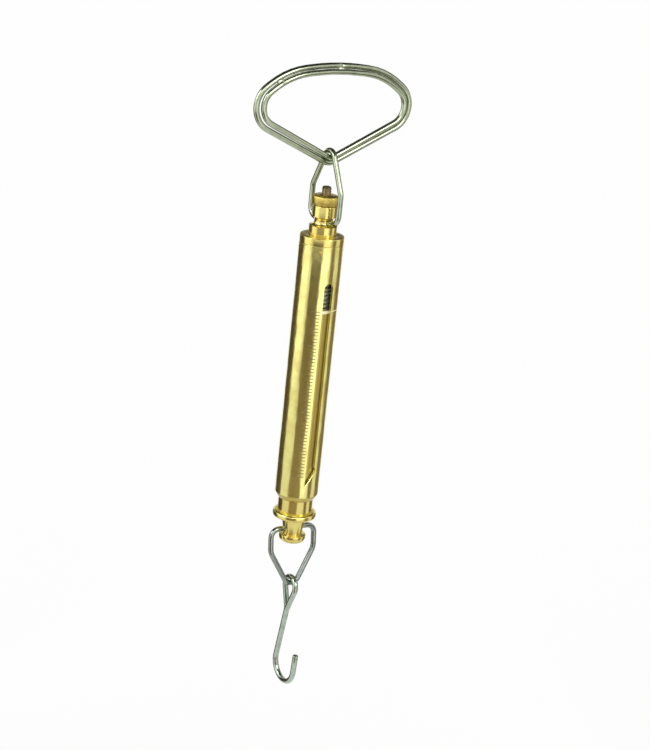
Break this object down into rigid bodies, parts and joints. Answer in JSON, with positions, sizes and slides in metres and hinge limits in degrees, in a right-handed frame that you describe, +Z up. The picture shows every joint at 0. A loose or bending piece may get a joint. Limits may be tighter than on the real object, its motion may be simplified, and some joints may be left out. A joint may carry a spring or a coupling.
{
  "type": "tubular hanging spring scale",
  "caption": "Slotted brass tube scale: a spring-hung plunger reads load against graduations, with a doubled wire finger handle on top, a zero nut and a wire bail with a load hook below.",
  "frame": {"origin": "underside of the handle's arch on the scale's axis, where the fingers bear", "axes": "+Z up along the barrel, -Y out of the reading slot, +X to the right of a reader who faces the slot"},
  "size_m": [0.1028, 0.0351, 0.3752],
  "materials": {
    "polished_brass": "polished",
    "turned_brass": "turned and polished",
    "satin_brass": "satin",
    "plated_wire": "bright plated",
    "spring_steel": "oiled"
  },
  "bodies": {
    "handle": {"handle_outer_ring": "plated_wire", "handle_inner_ring": "plated_wire"},
    "upper_bail": {"upper_bail": "plated_wire"},
    "barrel": {"barrel": "polished_brass", "head_plug": "turned_brass", "head_pins": "satin_brass", "guide_bush": "polished_brass"},
    "zero_nut": {"zero_nut": "satin_brass"},
    "rod": {"adjusting_rod": "turned_brass", "upper_spring_plug": "turned_brass", "upper_plug_pin": "spring_steel", "spring": "spring_steel"},
    "plunger": {"plunger_tube": "polished_brass", "index_collar": "satin_brass", "foot_plug": "turned_brass", "foot_pins": "satin_brass", "lower_spring_plug": "turned_brass", "lower_plug_pin": "spring_steel"},
    "lower_bail": {"lower_bail": "plated_wire"},
    "hook": {"hook": "plated_wire"}
  },
  "joints": [
    {"name": "upper_bail_swing", "type": "hinge", "parent": "handle", "child": "upper_bail", "pos_m": [0, 0, -0.04775], "axis": [1, 0, 0], "range_deg": [-140, 140]},
    {"name": "barrel_swing", "type": "hinge", "parent": "upper_bail", "child": "barrel", "pos_m": [0, 0, -0.08215], "axis": [0, 1, 0], "range_deg": [-90, 90]},
    {"name": "zero_nut_turn", "type": "hinge", "parent": "barrel", "child": "zero_nut", "pos_m": [0, 0, -0.0704], "axis": [0, 0, 1], "range_deg": [-905, 905]},
    {"name": "zero_adjust", "type": "slide", "parent": "barrel", "child": "rod", "axis": [0, 0, 1], "range_m": [-0.002, 0.002]},
    {"name": "load_slide", "type": "slide", "parent": "rod", "child": "plunger", "axis": [0, 0, -1], "range_m": [0, 0.1], "stiffness_N_per_m": 1112, "springref_m": -0.004, "deforming": ["spring"]},
    {"name": "lower_bail_swing", "type": "hinge", "parent": "plunger", "child": "lower_bail", "pos_m": [0, 0, -0.26915], "axis": [1, 0, 0], "range_deg": [-90, 90]},
    {"name": "hook_swing", "type": "hinge", "parent": "lower_bail", "child": "hook", "pos_m": [0, -0.00422, -0.30349], "axis": [1, 0, 0], "range_deg": [-90, 90]}
  ],
  "couplings": [
    {"joint": "zero_nut_turn", "follows": "zero_adjust", "rad_per_m": -7854}
  ]
}
